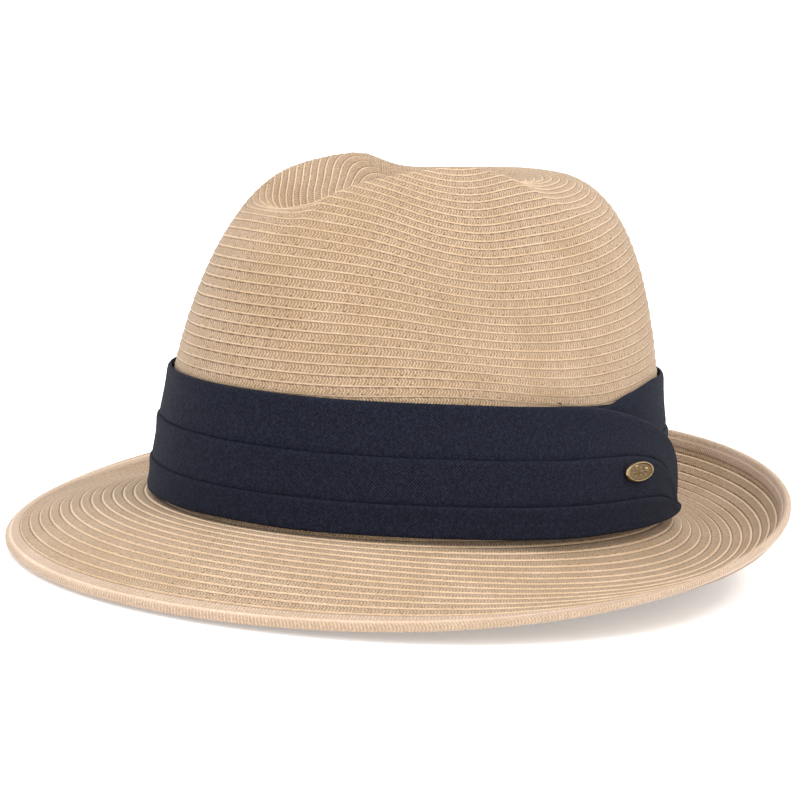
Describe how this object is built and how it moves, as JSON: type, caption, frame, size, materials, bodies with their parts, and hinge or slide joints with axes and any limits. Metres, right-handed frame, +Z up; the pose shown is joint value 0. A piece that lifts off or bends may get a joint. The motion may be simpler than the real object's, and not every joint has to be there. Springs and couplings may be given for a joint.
{
  "type": "fedora hat",
  "caption": "snap-brim fedora of sewn straw braid with a creased, pinched crown, a pleated cloth hatband with a rounded overlap and a small metal badge",
  "frame": {"origin": "centre of the head opening, on the level plane of the headline where crown and brim meet", "axes": "+Z up through the crown, front of the hat -Y, wearer's left +X"},
  "size_m": [0.2812, 0.3044, 0.1447],
  "materials": {
    "straw": "sewn herringbone straw braid, matt natural tan",
    "straw_edge": "doubled last row of braid, matt natural tan",
    "navy_cloth": "fine linen weave, matt navy",
    "lining": "matt dark navy ribbon",
    "sweat_cloth": "fine ribbed sweatband cloth, matt navy",
    "thread": "sewing thread",
    "label_cloth": "blank satin-woven label",
    "aged_brass": "antiqued, rubbed bright on the raised edges"
  },
  "bodies": {
    "hat": {"crown": "straw", "brim_rear": "straw", "edge_row_rear": "straw_edge", "sweatband": "sweat_cloth", "sweatband_seam_tape": "lining", "sweatband_thread": "thread", "hatband_backing": "lining", "hatband": "navy_cloth", "tongue_lining": "lining", "hatband_tongue": "navy_cloth", "badge_plate": "aged_brass", "badge_prong_1": "aged_brass", "badge_prong_2": "aged_brass", "badge_washer": "aged_brass", "hatband_tack_1": "navy_cloth", "hatband_tack_2": "navy_cloth", "hatband_tack_3": "navy_cloth", "hatband_tack_4": "navy_cloth", "hatband_tack_5": "navy_cloth", "hatband_tack_6": "navy_cloth"},
    "front_brim": {"brim_front": "straw", "edge_row_front": "straw_edge"},
    "label": {"size_label": "label_cloth"}
  },
  "joints": [
    {"name": "front_brim_snap", "type": "hinge", "parent": "hat", "child": "front_brim", "pos_m": [0, -0.107, 0], "axis": [-1, 0, 0], "range_deg": [0, 40]},
    {"name": "label_flap", "type": "hinge", "parent": "hat", "child": "label", "pos_m": [0.02415, 0.08993, 0.027], "axis": [-0.945, 0.3271, 0], "range_deg": [0, 150]}
  ]
}
